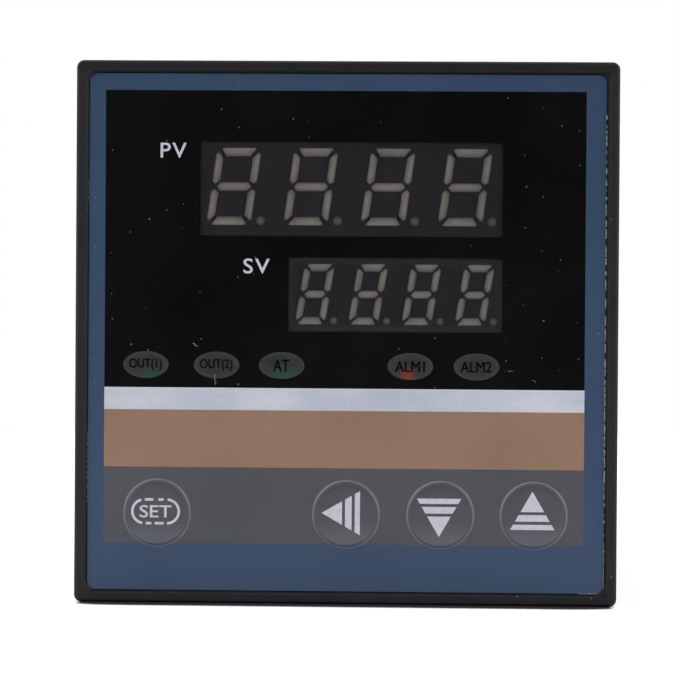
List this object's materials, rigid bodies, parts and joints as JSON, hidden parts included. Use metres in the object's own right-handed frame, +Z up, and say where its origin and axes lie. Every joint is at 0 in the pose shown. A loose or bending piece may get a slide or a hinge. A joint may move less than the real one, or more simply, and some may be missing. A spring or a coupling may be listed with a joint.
{
  "type": "pid temperature controller",
  "caption": "Square panel-mounted temperature controller with two stacked digit displays, indicator windows, four film keys, a plug-in chassis and rear screw terminals.",
  "frame": {"origin": "centre of the square body in the plane of the panel's front surface, on the back of the case flange", "axes": "+Y runs from the face back to the terminals, +X is to the right of someone who looks at the face, +Z is up"},
  "size_m": [0.072, 0.109, 0.072],
  "materials": {
    "case_plastic": "fine spark-eroded black moulding",
    "terminal_plastic": "black moulding, slightly smoother than the case",
    "contact_brass": "tinned brass strip",
    "screw_steel": "nickel-plated steel",
    "bezel_plastic": "dark grey moulding with a fine grain",
    "printed_film": "printed polyester, satin with tinted clear windows",
    "display_black": "black moulding",
    "display_diffuser": "milky resin",
    "circuit_board": "green solder mask on glass-epoxy",
    "green_lens": "tinted resin",
    "red_lens": "tinted resin",
    "component_black": "moulded black epoxy",
    "plated_steel": "plated sheet",
    "varistor_coating": "dipped epoxy",
    "ferrite": "sintered dark grey ferrite",
    "copper_wire": "enamelled copper wire",
    "capacitor_sleeve": "shrunk sleeve on an aluminium can",
    "winding_tape": "polyester tape",
    "trimmer_blue": "moulded",
    "relay_cover": "smooth black cover",
    "film_capacitor_red": "dipped epoxy"
  },
  "bodies": {
    "case": {"case_sleeve": "case_plastic", "terminal_block": "terminal_plastic", "terminal_contacts": "contact_brass", "terminal_washers": "screw_steel", "terminal_screws": "screw_steel"},
    "chassis": {"front_bezel": "bezel_plastic", "release_latch": "bezel_plastic", "keypad_film": "printed_film", "upper_display_shell": "display_black", "upper_display_segments": "display_diffuser", "lower_display_shell": "display_black", "lower_display_segments": "display_diffuser", "display_board": "circuit_board", "output_lamp": "green_lens", "tuning_lamp": "green_lens", "alarm_lamp": "red_lens", "switch_bases": "component_black", "switch_covers": "plated_steel", "microcontroller": "component_black", "clock_crystal": "plated_steel", "power_board": "circuit_board", "signal_board": "circuit_board", "power_board_header": "component_black", "signal_board_header": "component_black", "fuse": "component_black", "varistor": "varistor_coating", "choke_core": "ferrite", "choke_coils": "copper_wire", "mains_capacitor": "capacitor_sleeve", "bridge_rectifier": "component_black", "supply_chip": "component_black", "transformer_core": "ferrite", "transformer_winding": "winding_tape", "transformer_bobbin": "component_black", "supply_optocoupler": "component_black", "output_capacitor_1": "capacitor_sleeve", "output_capacitor_2": "capacitor_sleeve", "input_amplifier": "component_black", "zero_trimmer": "trimmer_blue", "span_trimmer": "trimmer_blue", "output_relay": "relay_cover", "snubber_capacitor": "film_capacitor_red", "memory_chip": "component_black", "relay_driver_chip": "component_black", "alarm_relay": "relay_cover", "output_optocoupler": "component_black"},
    "set_key": {"set_key_stem": "component_black"},
    "shift_key": {"shift_key_stem": "component_black"},
    "down_key": {"down_key_stem": "component_black"},
    "up_key": {"up_key_stem": "component_black"}
  },
  "joints": [
    {"name": "chassis_slide", "type": "slide", "parent": "case", "child": "chassis", "axis": [0, -1, 0], "range_m": [0, 0.1], "deforming": ["release_latch"]},
    {"name": "set_key_press", "type": "slide", "parent": "chassis", "child": "set_key", "axis": [0, 1, 0], "range_m": [0, 0.00025], "stiffness_N_per_m": 4000},
    {"name": "shift_key_press", "type": "slide", "parent": "chassis", "child": "shift_key", "axis": [0, 1, 0], "range_m": [0, 0.00025], "stiffness_N_per_m": 4000},
    {"name": "down_key_press", "type": "slide", "parent": "chassis", "child": "down_key", "axis": [0, 1, 0], "range_m": [0, 0.00025], "stiffness_N_per_m": 4000},
    {"name": "up_key_press", "type": "slide", "parent": "chassis", "child": "up_key", "axis": [0, 1, 0], "range_m": [0, 0.00025], "stiffness_N_per_m": 4000}
  ]
}
